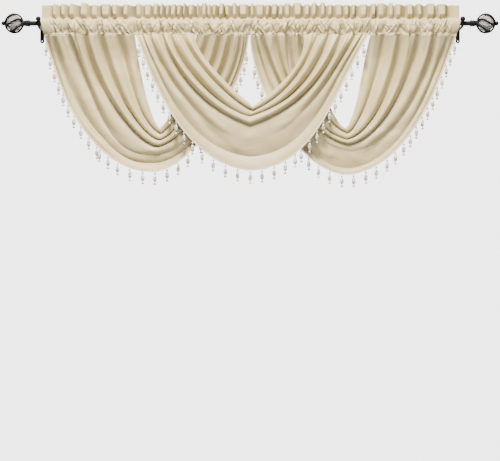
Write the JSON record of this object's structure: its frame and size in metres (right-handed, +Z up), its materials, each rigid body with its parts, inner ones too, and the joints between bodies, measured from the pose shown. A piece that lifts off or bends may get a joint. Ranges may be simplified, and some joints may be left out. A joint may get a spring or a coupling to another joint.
{
  "type": "swag drape on a curtain rod",
  "caption": "Window valance of overlapping swags with frilled rod-pocket headings and a bead-drop hem, hung on an iron rod with caged-ball finials and wall brackets.",
  "frame": {"origin": "centre of the left bracket's wall plate, on its back face", "axes": "+X along the rod to the right as seen from the room, +Y into the wall, +Z up"},
  "size_m": [1.665, 0.1017, 0.612],
  "materials": {
    "champagne_cloth": "soft satin",
    "bead_trim": "clear and pearl beads on a woven tape",
    "iron": "satin black",
    "glass": "smoked"
  },
  "bodies": {
    "root": {"swag_left": "champagne_cloth", "swag_centre": "champagne_cloth", "swag_right": "champagne_cloth", "heading_left_outer": "champagne_cloth", "heading_centre_left": "champagne_cloth", "heading_left_inner": "champagne_cloth", "heading_right_inner": "champagne_cloth", "heading_centre_right": "champagne_cloth", "heading_right_outer": "champagne_cloth", "trim_left_outer": "bead_trim", "trim_left_bottom": "bead_trim", "trim_left_inner": "bead_trim", "trim_centre_left_top": "bead_trim", "trim_centre_left": "bead_trim", "trim_centre_bottom": "bead_trim", "trim_centre_right_top": "bead_trim", "trim_centre_right": "bead_trim", "trim_right_inner": "bead_trim", "trim_right_bottom": "bead_trim", "trim_right_outer": "bead_trim", "rod": "iron", "finial_left": "iron", "finial_right": "iron", "bracket_left": "iron", "bracket_right": "iron", "ball_left": "glass", "ball_right": "glass"}
  },
  "joints": []
}
